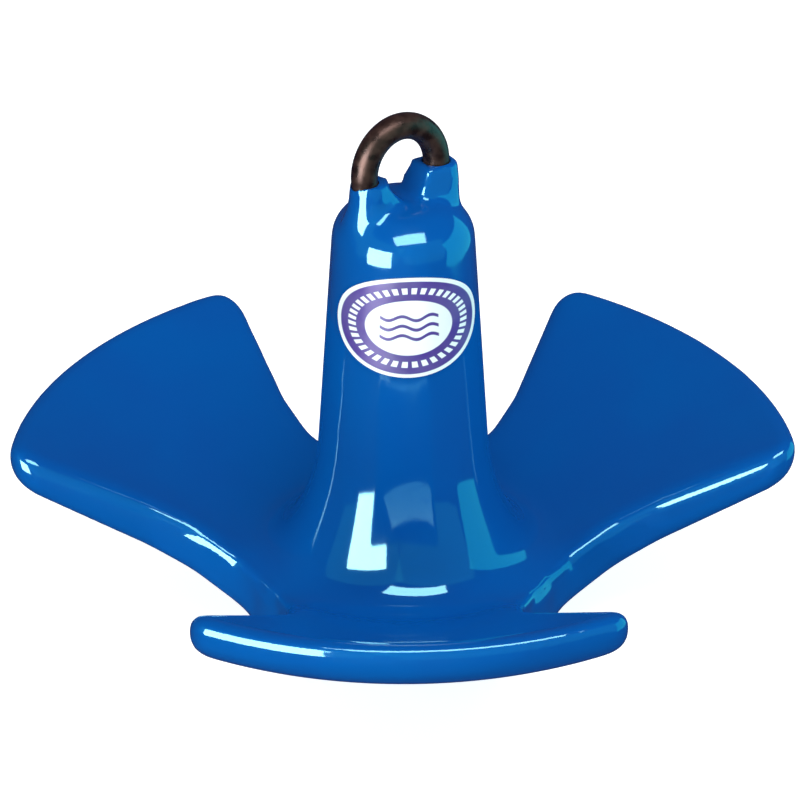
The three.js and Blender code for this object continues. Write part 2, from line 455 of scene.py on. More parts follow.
class Effect(Enum):
    """The node groups that more than one finish uses."""

    UNEVEN = "soft_unevenness"


def unevenness_group() -> bpy.types.NodeTree:
    """Builds, once, the group for the soft waviness and fine grain of a cast or dipped surface.

    Returns:
        A group with the inputs Vector, Broad Scale, Fine Scale and Fine Share, and the outputs Mask and
        Height.
    """
    ready = bpy.data.node_groups.get(Effect.UNEVEN.value)
    if ready:
        return ready
    group = bpy.data.node_groups.new(Effect.UNEVEN.value, "ShaderNodeTree")
    group.interface.new_socket("Vector", in_out="INPUT", socket_type="NodeSocketVector")
    for name, value in (("Broad Scale", 20.0), ("Fine Scale", 200.0), ("Fine Share", 0.3)):
        group.interface.new_socket(name, in_out="INPUT", socket_type="NodeSocketFloat").default_value = value
    for name in ("Mask", "Height"):
        group.interface.new_socket(name, in_out="OUTPUT", socket_type="NodeSocketFloat")
    shader = Shader(group)
    entry = group.nodes.new("NodeGroupInput")
    leave = group.nodes.new("NodeGroupOutput")
    broad = shader.add("TexNoise", Detail=2.0, Roughness=0.45)
    fine = shader.add("TexNoise", Detail=4.0, Roughness=0.6)
    for noise, scale in ((broad, "Broad Scale"), (fine, "Fine Scale")):
        shader.link(entry.outputs["Vector"], noise.inputs["Vector"])
        shader.link(entry.outputs[scale], noise.inputs["Scale"])
    fine_part = shader.math("MULTIPLY", fine.outputs[0], entry.outputs["Fine Share"])
    shader.link(shader.ramp(broad.outputs[0], 0.3, 0.7), leave.inputs["Mask"])
    shader.link(shader.math("ADD", broad.outputs[0], fine_part), leave.inputs["Height"])
    return group


def add_unevenness(shader: Shader, broad: float, fine: float, share: float) -> bpy.types.Node:
    """Places the unevenness group in a material, on Object coordinates.

    Args:
        shader: The material's shader helper.
        broad: Scale of the broad waves.
        fine: Scale of the fine grain.
        share: How strong the fine grain is beside the waves.

    Returns:
        The group's node.
    """
    node = shader.tree.nodes.new("ShaderNodeGroup")
    node.node_tree = unevenness_group()
    node.inputs["Broad Scale"].default_value = broad
    node.inputs["Fine Scale"].default_value = fine
    node.inputs["Fine Share"].default_value = share
    place = shader.add("TexCoord")
    shader.link(place.outputs["Object"], node.inputs["Vector"])
    return node


def add_bump(shader: Shader, height: Socket, depth: float, principled: bpy.types.Node) -> None:
    """Raises a material's surface by a height.

    Args:
        shader: The material's shader helper.
        height: The height's socket.
        depth: The height of a full step, in metres.
        principled: The node whose normal it drives.
    """
    bump = shader.add("Bump", Strength=1.0, Distance=depth)
    shader.link(height, bump.inputs["Height"])
    shader.link(bump.outputs["Normal"], principled.inputs["Normal"])


def add_roughness(
    shader: Shader, uneven: bpy.types.Node, roughness: float, spread: float, principled: bpy.types.Node
) -> None:
    """Makes a material a little rougher where its unevenness is high.

    Args:
        shader: The material's shader helper.
        uneven: The unevenness group's node.
        roughness: The lower roughness.
        spread: How much is added at most.
        principled: The node that it drives.
    """
    added = shader.math("MULTIPLY", uneven.outputs["Mask"], spread)
    shader.link(shader.math("ADD", added, roughness), principled.inputs["Roughness"])


# ------------------------------------------------------------------ finishes


@dataclass(frozen=True)
class Finish:
    """A surface of two tones, whose sheen and relief follow one soft unevenness.

    Attributes:
        name: The material's name.
        tones: The two colours.
        broad: Scale of the unevenness's broad waves.
        fine: Scale of its fine grain.
        share: How strong the grain is beside the waves.
        depth: Height of its relief.
        roughness: The lower roughness.
        spread: How much rougher it gets with the unevenness.
        metallic: How much of it is bare metal.
        refraction: The index of refraction.
        gloss_tint: The colour of its reflections.
    """

    name: str
    tones: tuple[Colour, Colour]
    broad: float
    fine: float
    share: float
    depth: float
    roughness: float
    spread: float
    metallic: float = 0.0
    refraction: float = 1.5
    gloss_tint: Colour = (1.0, 1.0, 1.0)

    def material(self) -> bpy.types.Material:
        """Builds the material."""
        material, shader, principled = new_material(self.name)
        uneven = add_unevenness(shader, self.broad, self.fine, self.share)
        shader.link(shader.blend(uneven.outputs["Mask"], *self.tones), principled.inputs["Base Color"])
        add_roughness(shader, uneven, self.roughness, self.spread, principled)
        principled.inputs["Metallic"].default_value = self.metallic
        principled.inputs["IOR"].default_value = self.refraction
        principled.inputs["Specular Tint"].default_value = (*self.gloss_tint, 1.0)
        add_bump(shader, uneven.outputs["Height"], self.depth, principled)
        return material


BLUE_VINYL = Finish(
    "blue_vinyl", ((0.0020, 0.083, 0.360), (0.0010, 0.090, 0.375)),
    broad=28.0, fine=900.0, share=0.01, depth=0.05 * MM, roughness=0.055, spread=0.02,
    refraction=1.82, gloss_tint=(0.40, 0.95, 1.0),
)
FORGED_STEEL = Finish(
    "forged_steel", ((0.014, 0.0065, 0.0052), (0.050, 0.024, 0.018)),
    broad=260.0, fine=1500.0, share=0.35, depth=0.15 * MM, roughness=0.25, spread=0.15,
    metallic=0.25, gloss_tint=(1.0, 0.72, 0.66),
)
CAST_IRON = Finish(
    "cast_iron", ((0.045, 0.043, 0.042), (0.120, 0.045, 0.020)),
    broad=55.0, fine=1100.0, share=0.8, depth=0.6 * MM, roughness=0.62, spread=0.2, metallic=0.7,
)


@dataclass(frozen=True)
class PrintedLabel:
    """White film printed with an indigo band, a ring of dashes and three waves."""

    paper: Colour = (0.90, 0.90, 0.93)
    ink: Colour = (0.075, 0.035, 0.270)
    band_outer: float = 0.93
    band_inner: float = 0.55
    dash_radius: float = 0.74
    dash_half_width: float = 0.06
    dashes: int = 40
    dash_gap: Point = (0.19, 0.22)
    wave_turns: float = 18.0
    wave_height: float = 0.045
    wave_pitch: float = 0.19
    wave_line: Point = (0.040, 0.025)
    wave_half_rise: float = 0.285
    wave_half_width: float = 0.36
    edge: float = 0.008
    aged_paper: Colour = (0.62, 0.62, 0.70)
    aging: float = 0.06
    roughness: float = 0.32
    spread: float = 0.08
    print_depth: float = 0.025 * MM

    def material(self) -> bpy.types.Material:
        """Builds the label's material on the label's own UV map, which runs from 0 to 1 across the oval."""
        material, shader, principled = new_material("printed_label")
        across, up, radius = self._oval_place(shader)
        band = self._between(shader, radius, self.band_inner, self.band_outer)
        ink = shader.math("SUBTRACT", band, self._dash_ring(shader, across, up, radius))
        ink = shader.math("MAXIMUM", ink, self._waves(shader, across, up))
        colour = shader.blend(ink, self.paper, self.ink)
        uneven = add_unevenness(shader, broad=120.0, fine=1400.0, share=0.2)
        faded = shader.math("MULTIPLY", uneven.outputs["Mask"], self.aging)
        shader.link(shader.blend(faded, colour, self.aged_paper), principled.inputs["Base Color"])
        add_roughness(shader, uneven, self.roughness, self.spread, principled)
        add_bump(shader, ink, self.print_depth, principled)
        return material

    def _oval_place(self, shader: Shader) -> tuple[Socket, ...]:
        """Gives the place across and up the oval, from -1 to 1, and the distance from its middle."""
        place = shader.add("UVMap", uv_map="label_face")
        split = shader.add("SeparateXYZ")
        shader.link(place.outputs["UV"], split.inputs[0])
        across, up = (
            shader.math("SUBTRACT", shader.math("MULTIPLY", split.outputs[axis], 2.0), 1.0)
            for axis in ("X", "Y")
        )
        squares = [shader.math("MULTIPLY", part, part) for part in (across, up)]
        return across, up, shader.math("SQRT", shader.math("ADD", *squares))

    def _between(self, shader: Shader, value: Socket, low: float, high: float) -> Socket:
        """A mask that is 1 where a value lies between two others, with a thin soft edge."""
        above = shader.ramp(value, low - self.edge, low + self.edge)
        below = shader.ramp(value, high + self.edge, high - self.edge)
        return shader.math("MULTIPLY", above, below)

    def _dash_ring(self, shader: Shader, across: Socket, up: Socket, radius: Socket) -> Socket:
        """A mask of short dashes that stand round the band."""
        turn = shader.math("ARCTAN2", up, across)
        count = shader.math("MULTIPLY", turn, self.dashes / (2 * math.pi))
        dash = shader.ramp(shader.math("PINGPONG", count, 0.5), *self.dash_gap)
        low, high = self.dash_radius - self.dash_half_width, self.dash_radius + self.dash_half_width
        return shader.math("MULTIPLY", dash, self._between(shader, radius, low, high))

    def _waves(self, shader: Shader, across: Socket, up: Socket) -> Socket:
        """A mask of three waves in the middle of the label."""
        swing = shader.math("SINE", shader.math("MULTIPLY", across, self.wave_turns))
        height = shader.math("ADD", up, shader.math("MULTIPLY", swing, self.wave_height))
        line = shader.ramp(shader.math("PINGPONG", height, self.wave_pitch / 2), *self.wave_line)
        rows = self._between(shader, height, -self.wave_half_rise, self.wave_half_rise)
        width = self._between(shader, across, -self.wave_half_width, self.wave_half_width)
        return shader.math("MULTIPLY", line, shader.math("MULTIPLY", rows, width))


@dataclass(frozen=True)
class PaleFloor:
    """Matt white studio paper."""

    colour: Colour = (0.60, 0.60, 0.60)
    second_colour: Colour = (0.62, 0.62, 0.62)
    glow: float = 0.85

    def material(self) -> bpy.types.Material:
        """Builds the floor's material, which is lit from behind a little so that shadows stay pale."""
        material, shader, principled = new_material("studio_paper")
        uneven = add_unevenness(shader, broad=3.0, fine=600.0, share=0.1)
        colour = shader.blend(uneven.outputs["Mask"], self.colour, self.second_colour)
        shader.link(colour, principled.inputs["Base Color"])
        principled.inputs["Roughness"].default_value = 0.9
        principled.inputs["Emission Color"].default_value = (1.0, 1.0, 1.0, 1.0)
        principled.inputs["Emission Strength"].default_value = self.glow
        return material


# ------------------------------------------------------------------ coat


@dataclass(frozen=True)
class Column:
    """The outside of the coat on the foot, the hub and the tapered trunk."""

    foot_radius: float = 34.5 * MM
    hub_radius: float = 59.0 * MM
    rim_round: float = 4.6 * MM
    rim_step: float = 0.8 * MM
    base_radius: float = 30.9 * MM
    base_height: float = 80.6 * MM
    shoulder_radius: float = 25.4 * MM
    shoulder_below_dome: float = 13.4 * MM
    neck_radius: float = 16.0 * MM
    neck_below_dome: float = 1.6 * MM
    flare_start: float = 12.0 * MM
    flare_drop: float = 21.0 * MM
    dome_shares: Point = (0.75, 0.4)
    rim_steps: int = 4
    flare_steps: int = 24
    shoulder_steps: int = 10
    dome_steps: int = 4
    sides: int = 144

    def stations(self, dome: float, rim_bottom: float, rim_top: float) -> list[Point]:
        """The rings of the column, from the foot to the dome.

        Args:
            dome: The height of the dome.
            rim_bottom: The height of the hub's lower edge.
            rim_top: The height of the hub's upper edge.

        Returns:
            Radius and height of each ring.
        """
        shoulder_height = dome - self.shoulder_below_dome
        taper = (self.base_radius - self.shoulder_radius) / (shoulder_height - self.base_height)
        rim_inner = self.hub_radius - self.rim_round
        neck = (self.neck_radius, dome - self.neck_below_dome)
        neck_rise = self.shoulder_below_dome - self.neck_below_dome
        rings = [(self.foot_radius, 0.0), (rim_inner, rim_bottom)]
        rings += curve_points([
            rings[-1],
            (self.hub_radius, rim_bottom + self.rim_round / 2),
            (self.hub_radius, rim_bottom + self.rim_round),
        ], self.rim_steps)
        rings.append((self.hub_radius, rim_top - self.rim_round))
        rings += curve_points([rings[-1], (self.hub_radius, rim_top), (rim_inner, rim_top)], self.rim_steps)
        rings += curve_points([
            rings[-1],
            (rim_inner - self.flare_start, rim_top),
            (self.base_radius + self.flare_drop * taper, self.base_height - self.flare_drop),
            (self.base_radius, self.base_height),
        ], self.flare_steps)
        rings.append((self.shoulder_radius, shoulder_height))
        rings += curve_points([
            rings[-1],
            (self.shoulder_radius - taper * neck_rise, shoulder_height + neck_rise / 2),
            neck,
        ], self.shoulder_steps)
        dome_start, dome_flat = (share * self.neck_radius for share in self.dome_shares)
        rings += curve_points([neck, (dome_start, dome), (dome_flat, dome)], self.dome_steps)
        return rings


@dataclass(frozen=True)
class Fluke:
    """One fluke: a slab between two cones about the axis, fan-shaped in plan, with rounded edges."""

    rim_arc_radius: float = 155.0 * MM
    corner_radius: float = 9.8 * MM
    side_angle: float = math.radians(35.75)
    side_origin: float = 9.7 * MM
    notch_fillet: float = 45.0 * MM
    notch_bite: float = 1.0 * MM
    root_radius: float = 18.0 * MM
    root_height: float = 8.0 * MM
    top_angle: float = math.radians(26.75)
    top_cone_radius: float = 36.6 * MM
    top_cone_height: float = 26.4 * MM
    underside_angle: float = math.radians(31.0)
    underside_cone_radius: float = 36.0 * MM
    edge_round: float = 6.2 * MM
    across: int = 24
    fillet_steps: int = 7
    straight_steps: int = 9
    corner_steps: int = 9
    edge_steps: int = 6

    def top(self, radius: float) -> float:
        """Height of the upper cone at a radius."""
        return self.top_cone_height + (radius - self.top_cone_radius) * math.tan(self.top_angle)

    def underside(self, radius: float, foot_radius: float) -> float:
        """Height of the lower cone at a radius, level inside the foot."""
        if radius < foot_radius:
            return self.root_height
        return (radius - self.underside_cone_radius) * math.tan(self.underside_angle)

    def _side_point(self, along: float, out: float) -> Vector:
        """A plan point at a distance along the side's direction and a distance out from it."""
        cosine, sine = math.cos(self.side_angle), math.sin(self.side_angle)
        return Vector((along * cosine - out * sine, along * sine + out * cosine))

    def _arc(self, centre: Vector, radius: float, start: Vector, end: Vector, steps: int) -> list[Vector]:
        """Points of an arc between two directions, the short way round."""
        first = math.atan2(start.y, start.x)
        turn = (math.atan2(end.y, end.x) - first + math.pi) % (2 * math.pi) - math.pi
        angles = [first + turn * n / steps for n in range(steps + 1)]
        return [centre + radius * Vector((math.cos(a), math.sin(a))) for a in angles]

    def side(self, reach: float, hub_radius: float, inset: float) -> list[Vector]:
        """The side of the fluke in plan, from its root to the end of its rim.

        Args:
            reach: Distance from the axis to the rim's middle.
            hub_radius: Radius of the hub that the side runs into.
            inset: How far the side is moved inward.

        Returns:
            The side's points at positive Y.
        """
        outward = Vector((-math.sin(self.side_angle), math.cos(self.side_angle)))
        line_out = -self.side_origin * math.sin(self.side_angle)
        rim_middle = Vector((reach - self.rim_arc_radius, 0.0))
        notch_out = self.notch_fillet + line_out
        notch_reach = hub_radius - self.notch_bite + self.notch_fillet
        notch = self._side_point(math.sqrt(notch_reach ** 2 - notch_out ** 2), notch_out)
        corner_out = line_out - self.corner_radius
        corner_reach = self.rim_arc_radius - self.corner_radius
        from_rim = corner_out - rim_middle.dot(outward)
        rim_along = rim_middle.dot(self._side_point(1.0, 0.0))
        corner = self._side_point(math.sqrt(corner_reach ** 2 - from_rim ** 2) + rim_along, corner_out)
        fillet = self._arc(notch, self.notch_fillet + inset, -notch, -outward, self.fillet_steps)
        rounded = self._arc(
            corner, self.corner_radius - inset, outward, corner - rim_middle, self.corner_steps
        )
        root = notch.normalized() * (self.root_radius + inset)
        inner = [root.lerp(fillet[0], n / 3) for n in range(3)]
        straight = [
            fillet[-1].lerp(rounded[0], n / self.straight_steps) for n in range(1, self.straight_steps)
        ]
        return inner + fillet + straight + rounded

    def plan(self, reach: float, hub_radius: float, inset: float) -> list[list[Vector]]:
        """Rows of plan points across the fluke, from its root to its rim.

        Args:
            reach: Distance from the axis to the rim's middle.
            hub_radius: Radius of the hub.
            inset: How far the outline is moved inward.

        Returns:
            One row of points for each point of the side.
        """
        rows = []
        rim_middle = reach - self.rim_arc_radius
        for point in self.side(reach, hub_radius, inset):
            share = (point.length - hub_radius) / (reach - self.corner_radius - hub_radius)
            middle = rim_middle * min(max(share, 0.0), 1.0)
            radius = math.hypot(point.x - middle, point.y)
            half = math.atan2(point.y, point.x - middle)
            angles = [half * (2 * n / self.across - 1) for n in range(self.across + 1)]
            rows.append([Vector((middle + radius * math.cos(a), radius * math.sin(a))) for a in angles])
        return rows

    def build(self, reach: float, column: Column) -> Piece:
        """Models the fluke along +X.

        A grid is thickened layer by layer, and then each layer is laid out between the two cones.

        Args:
            reach: Distance from the axis to the rim's middle.
            column: The column that the fluke grows from.

        Returns:
            The fluke as a closed body.
        """
        rows = len(self.side(reach, column.hub_radius, 0.0)) - 1
        bpy.ops.mesh.primitive_grid_add(x_subdivisions=rows, y_subdivisions=self.across, size=1.0)
        body = settle(named("fluke"))
        layers = 2 * (self.edge_steps + 1)
        with editing(body):
            bpy.ops.mesh.select_all(action="SELECT")
            for _ in range(layers - 1):
                bpy.ops.mesh.extrude_region_move(TRANSFORM_OT_translate={"value": (0.0, 0.0, 1.0)})
        steps = [math.pi / 2 * n / self.edge_steps for n in range(self.edge_steps + 1)]
        turns = steps + steps[::-1]
        insets = [self.edge_round * (1 - math.sin(turn)) for turn in turns]
        moves = [self.edge_round * (1 - math.cos(turn)) for turn in turns]
        plans = [self.plan(reach, column.hub_radius, inset) for inset in insets]
        for vertex in body.data.vertices:
            i = round((vertex.co.x + 0.5) * rows)
            j = round((vertex.co.y + 0.5) * self.across)
            layer = round(vertex.co.z)
            place = plans[layer][i][j]
            if layer <= self.edge_steps:
                height = self.underside(place.length, column.foot_radius) + moves[layer]
            else:
                height = self.top(place.length) - moves[layer]
            vertex.co = (place.x, place.y, height)
        turned_outward(body)
        return body


@dataclass(frozen=True)
class Collars:
    """The two ends of the coat that climb the rod's legs, with a V between them."""

    left_top_below: float = 1.8 * MM
    left_radius: float = 6.8 * MM
    left_foot_radius: float = 10.0 * MM
    left_shift: float = 0.5 * MM
    right_half_depth: float = 6.2 * MM
    right_foot_half_depth: float = 8.4 * MM
    right_reach: float = 8.6 * MM
    slope_foot: float = 2.0 * MM
    slope_top_gap: float = 5.0 * MM
    root_depth: float = 12.0 * MM
    foot_share: float = 0.55
    pull_share: float = 0.8
    pull_width: float = 1.12
    web_below_left: float = 1.6 * MM
    web_half_depths: Point = (7.4 * MM, 6.0 * MM)
    edge_round: float = 4.4 * MM
    round_steps: int = 8
    sides: int = 64

    def build(self, sizes: FrameSizes, half_spacing: float) -> list[Piece]:
        """Models the collars.

        Args:
            sizes: The sizes of the frame.
            half_spacing: Half the distance between the rod's legs.

        Returns:
            The left collar, its web and the right collar, as closed bodies.
        """
        left = sizes.eye_middle - half_spacing
        right = sizes.eye_middle + half_spacing
        left_top = sizes.collar_top - self.left_top_below
        web_end = (left + self.slope_top_gap, left_top - self.web_below_left)
        block_end = (right - self.slope_top_gap, sizes.collar_top)
        return [
            self._round_collar(sizes, left, left_top),
            self._wedge("left_web", sizes, -self.slope_foot, left, web_end, self.web_half_depths),
            self._wedge(
                "right_collar", sizes, self.slope_foot, right + self.right_reach, block_end,
                (self.right_foot_half_depth, self.right_half_depth),
            ),
        ]

    def _round_collar(self, sizes: FrameSizes, leg: float, top: float) -> Piece:
        """The left collar: a sleeve that widens down to the shoulder."""
        foot = sizes.dome - self.root_depth
        rings = [(self.left_foot_radius, foot + share * self.root_depth) for share in (0.0, self.foot_share)]
        rings += curve_points([
            rings[-1],
            (self.left_radius * self.pull_width, foot + self.root_depth * self.pull_share),
            (self.left_radius, top),
        ], self.round_steps)
        return raised_rings("left_collar", rings, self.sides, (leg + self.left_shift, 0.0))

    def _wedge(
        self, name: str, sizes: FrameSizes, inner: float, outer: float, end: Point, half_depths: Point
    ) -> Piece:
        """Models a block whose inner side leans from the V up to its top.

        Args:
            name: The block's name.
            sizes: The sizes of the frame.
            inner: Where the inner side meets the dome, along X.
            outer: The outer side, along X.
            end: Where the inner side ends at the top, as X and Z.
            half_depths: Half the block's depth at its foot and at its top.

        Returns:
            The block.
        """
        foot = sizes.dome - self.root_depth
        top_inner, top = end
        foot_half_depth, half_depth = half_depths
        bpy.ops.mesh.primitive_cube_add(
            size=1.0, location=((inner + outer) / 2, 0.0, (foot + sizes.dome) / 2),
            scale=(abs(outer - inner), 2 * foot_half_depth, sizes.dome - foot),
        )
        block = settle(named(name))
        with editing(block):
            select_faces(block, lambda place, normal: normal.z > FACING)
            bpy.ops.mesh.extrude_region_move(
                TRANSFORM_OT_translate={"value": ((top_inner - inner) / 2, 0.0, top - sizes.dome)}
            )
            ratio = abs(outer - top_inner) / abs(outer - inner)
            bpy.ops.transform.resize(
                value=(ratio, half_depth / foot_half_depth, 1.0),
                center_override=((outer + top_inner) / 2, 0.0, top),
            )
        turned_outward(block)
        with editing(block, "EDGE"):
            select_edges(
                block,
                lambda a, b: max(abs(a.x - outer), abs(b.x - outer)) < DOUBLES and abs(a.z - b.z) > 1 * MM,
            )
            bpy.ops.mesh.bevel(offset=self.edge_round, segments=self.round_steps, affect="EDGES")
        return block


@dataclass
class VinylCoat:
    """The soft vinyl skin over the whole casting."""

    sizes: FrameSizes
    half_spacing: float
    column: Column = field(default_factory=Column)
    fluke: Fluke = field(default_factory=Fluke)
    collars: Collars = field(default_factory=Collars)
    fluke_count: int = 3
    grain: float = 1.42 * MM
    least_wall: float = 1.1 * MM
    settle_rounds: int = 16
    fillet_rounds: int = 120
    neck_rounds: int = 5
    guard_rounds: int = 4
    collar_start: Point = (1.0 * MM, 4.0 * MM)
    collar_calm: float = 0.8
    guard_end: Point = (-8.0 * MM, -2.0 * MM)
    fillet_reach: Point = (5.0 * MM, 15.0 * MM)
    fillet_rise: Point = (-8.0 * MM, -3.0 * MM)
    neck_rise: Point = (-10.0 * MM, -6.0 * MM)
    neck_fall: Point = (3.0 * MM, 6.0 * MM)

    def build(self, cutters: list[Piece]) -> Piece:
        """Models the coat and dresses it.

        Args:
            cutters: Closed bodies that leave their room in the coat, the casting's first.

        Returns:
            The finished coat.
        """
        rim_inner = self.column.hub_radius - self.column.rim_round
        rim_bottom = self.fluke.underside(rim_inner, self.column.foot_radius) - self.column.rim_step
        rim_top = self.fluke.top(rim_inner) + self.column.rim_step
        stations = self.column.stations(self.sizes.dome, rim_bottom, rim_top)
        parts = [raised_rings("column", stations, self.column.sides)]
        parts += self._flukes()
        parts += self.collars.build(self.sizes, self.half_spacing)
        coat = joined(parts, "coat")
        shape_with(coat, "REMESH", mode="VOXEL", voxel_size=self.grain)
        self._soften(coat, "skin", self._skin_share, self.settle_rounds)
        self._soften(coat, "fillets", self._fillet_share(rim_inner, rim_top), self.fillet_rounds)
        self._soften(coat, "neck", self._neck_share, self.neck_rounds)
        self._mark(coat, "guarded", self._guard_share)
        shape_with(
            coat, "SHRINKWRAP", target=cutters[0], wrap_method="NEAREST_SURFACEPOINT",
            wrap_mode="OUTSIDE", offset=self.least_wall, vertex_group="guarded",
        )
        self._soften(coat, "guarded", self._guard_share, self.guard_rounds)
        coat.vertex_groups.clear()
        for cutter in cutters:
            cut_away(coat, cutter)
        pick_only(coat)
        bpy.ops.object.shade_smooth_by_angle(angle=SMOOTH_ANGLE)
        coat.data.materials.clear()
        coat.data.materials.append(BLUE_VINYL.material())
        return coat

    def _flukes(self) -> list[Piece]:
        """Models one fluke and turns copies of it round the axis."""
        first = self.fluke.build(self.sizes.reach, self.column)
        flukes = [first]
        for n in range(1, self.fluke_count):
            copy = first.copy()
            copy.data = first.data.copy()
            bpy.context.scene.collection.objects.link(copy)
            copy.rotation_euler.z = 2 * math.pi * n / self.fluke_count
            flukes.append(settle(copy))
        return flukes

    def _skin_share(self, place: Vector) -> float:
        """How much a place takes part in the smoothing of the whole skin: little on the thin collars."""
        return 1 - self.collar_calm * soft_step(self.collar_start, place.z - self.sizes.dome)

    def _guard_share(self, place: Vector) -> float:
        """How much a place is kept off the casting: fully, but not round the rod's legs."""
        shoulder = self.sizes.dome - self.column.shoulder_below_dome
        return 1 - soft_step(self.guard_end, place.z - shoulder)

    def _fillet_share(self, rim_radius: float, rim_top: float) -> Callable[[Vector], float]:
        """How much a place takes part in the soft fillet between the trunk's flare and the flukes."""
        def share(place: Vector) -> float:
            radius = math.hypot(place.x, place.y)
            near = 1 - soft_step(self.fillet_reach, abs(radius - rim_radius))
            return near * soft_step(self.fillet_rise, place.z - rim_top)
        return share

    def _neck_share(self, place: Vector) -> float:
        """How much a place takes part in the softening round the collars' feet."""
        above_dome = place.z - self.sizes.dome
        return soft_step(self.neck_rise, above_dome) * (1 - soft_step(self.neck_fall, above_dome))

    def _soften(
        self, coat: Piece, name: str, share: Callable[[Vector], float], rounds: int
    ) -> None:
        """Smooths the coat by the share that each place takes.

        Args:
            coat: The coat.
            name: A name for the group of places.
            share: Gives a place's share, from 0 to 1.
            rounds: How many times it is smoothed.
        """
        self._mark(coat, name, share)
        shape_with(coat, "SMOOTH", factor=0.5, iterations=rounds, vertex_group=name)

    def _mark(self, coat: Piece, name: str, share: Callable[[Vector], float]) -> None:
        """Gives the coat one vertex group, with the share that each place takes.

        Args:
            coat: The coat.
            name: The group's name.
            share: Gives a place's share, from 0 to 1.
        """
        coat.vertex_groups.clear()
        group = coat.vertex_groups.new(name=name)
        for vertex in coat.data.vertices:
            weight = share(vertex.co)
            if weight > 0:
                group.add([vertex.index], weight, "REPLACE")


# ------------------------------------------------------------------ eye


@dataclass
class SteelEye:
    """The bent rod: an arch, two legs and two splayed ends that the casting holds."""

    sizes: FrameSizes
    rod_radius: float = 4.76 * MM
    equator_above_dome: float = 10.9 * MM
    leg_draw_in: float = 1.6 * MM
    draw_in_height: float = 9.0 * MM
    leg_length: float = 26.0 * MM
    splay: float = 2.6 * MM
    splay_length: float = 18.0 * MM
    end_inset: float = 0.6 * MM
    end_inset_zone: float = 1.5 * MM
    bend_above: float = 2.0 * MM
    bend_share: float = 0.12
    bend_steps: int = 4
    draw_in_steps: int = 6
    rod_sides: int = 32
    arch_steps: int = 48

    @property
    def half_spacing(self) -> float:
        """Half the distance between the legs where they stand in the casting."""
        splay_end = math.hypot(self.splay, self.splay_length) / self.splay_length
        return self.sizes.eye_half_width - self.rod_radius / splay_end - self.splay

    def path(self) -> list[Vector]:
        """The rod's centre line in the XZ plane, from the left end over the arch to the right end."""
        right = []
        equator = self.sizes.dome + self.equator_above_dome
        half = self.half_spacing
        rise = self.sizes.eye_top - self.rod_radius - equator
        for n in range(self.arch_steps // 2 + 1):
            angle = math.pi / 2 * (1 - n / (self.arch_steps // 2))
            right.append((
                (half + self.leg_draw_in) * math.cos(angle),
                equator + rise * math.sin(angle),
            ))
        for n in range(1, self.draw_in_steps + 1):
            share = n / self.draw_in_steps
            right.append((
                half + self.leg_draw_in * 0.5 * (1 + math.cos(math.pi * share)),
                equator - self.draw_in_height * share,
            ))
        bottom = right[-1][1] - self.leg_length
        right += [(half, bottom + self.leg_length / 2), (half, bottom + self.bend_above)]
        bend_end = (half + self.splay * self.bend_share, bottom - self.splay_length * self.bend_share)
        right += curve_points([right[-1], (half, bottom), bend_end], self.bend_steps)
        right.append((half + self.splay, bottom - self.splay_length))
        left = [(-x, z) for x, z in right[:0:-1]]
        return [Vector((self.sizes.eye_middle + x, 0.0, z)) for x, z in left + right]

    def swept(self, name: str, extra: float) -> Piece:
        """Draws the rod along its centre line, ring by ring.

        Args:
            name: The name of the body.
            extra: How much thicker than the rod it is all round, and longer at its ends.

        Returns:
            The closed rod.
        """
        path = self.path()
        path[0] = path[0] + (path[0] - path[1]).normalized() * extra
        path[-1] = path[-1] + (path[-1] - path[-2]).normalized() * extra
        lean = [self._lean(path, n) for n in range(len(path))]
        bpy.ops.mesh.primitive_circle_add(
            vertices=self.rod_sides, radius=self.rod_radius + extra, fill_type="NGON",
            location=path[0], rotation=(0.0, lean[0], 0.0),
        )
        body = settle(named(name))
        with editing(body):
            bpy.ops.mesh.select_all(action="SELECT")
            for n in range(1, len(path)):
                bpy.ops.mesh.extrude_region_move(TRANSFORM_OT_translate={"value": path[n] - path[n - 1]})
                bpy.ops.transform.rotate(
                    value=-(lean[n] - lean[n - 1]), orient_axis="Y", center_override=path[n]
                )
        turned_outward(body)
        return body

    def _lean(self, path: list[Vector], n: int) -> float:
        """The turn about +Y that lays a ring square to the path at its point n."""
        ahead = path[min(n + 1, len(path) - 1)]
        behind = path[max(n - 1, 0)]
        along = (ahead - behind).normalized()
        turn = math.atan2(along.x, along.z)
        return turn if turn > -math.pi / 2 else turn + 2 * math.pi

    def build(self) -> Piece:
        """Models the rod and dresses it.

        Returns:
            The finished eye.
        """
        eye = self.swept("eye_rod", 0.0)
        with editing(eye):
            low = self.sizes.eye_bottom + self.end_inset_zone
            select_faces(eye, lambda place, normal: place.z < low and abs(normal.z) > FACING)
            bpy.ops.mesh.inset(thickness=self.end_inset)
        pick_only(eye)
        bpy.ops.object.shade_smooth_by_angle(angle=SMOOTH_ANGLE)
        eye.data.materials.append(FORGED_STEEL.material())
        return eye


# ------------------------------------------------------------------ label


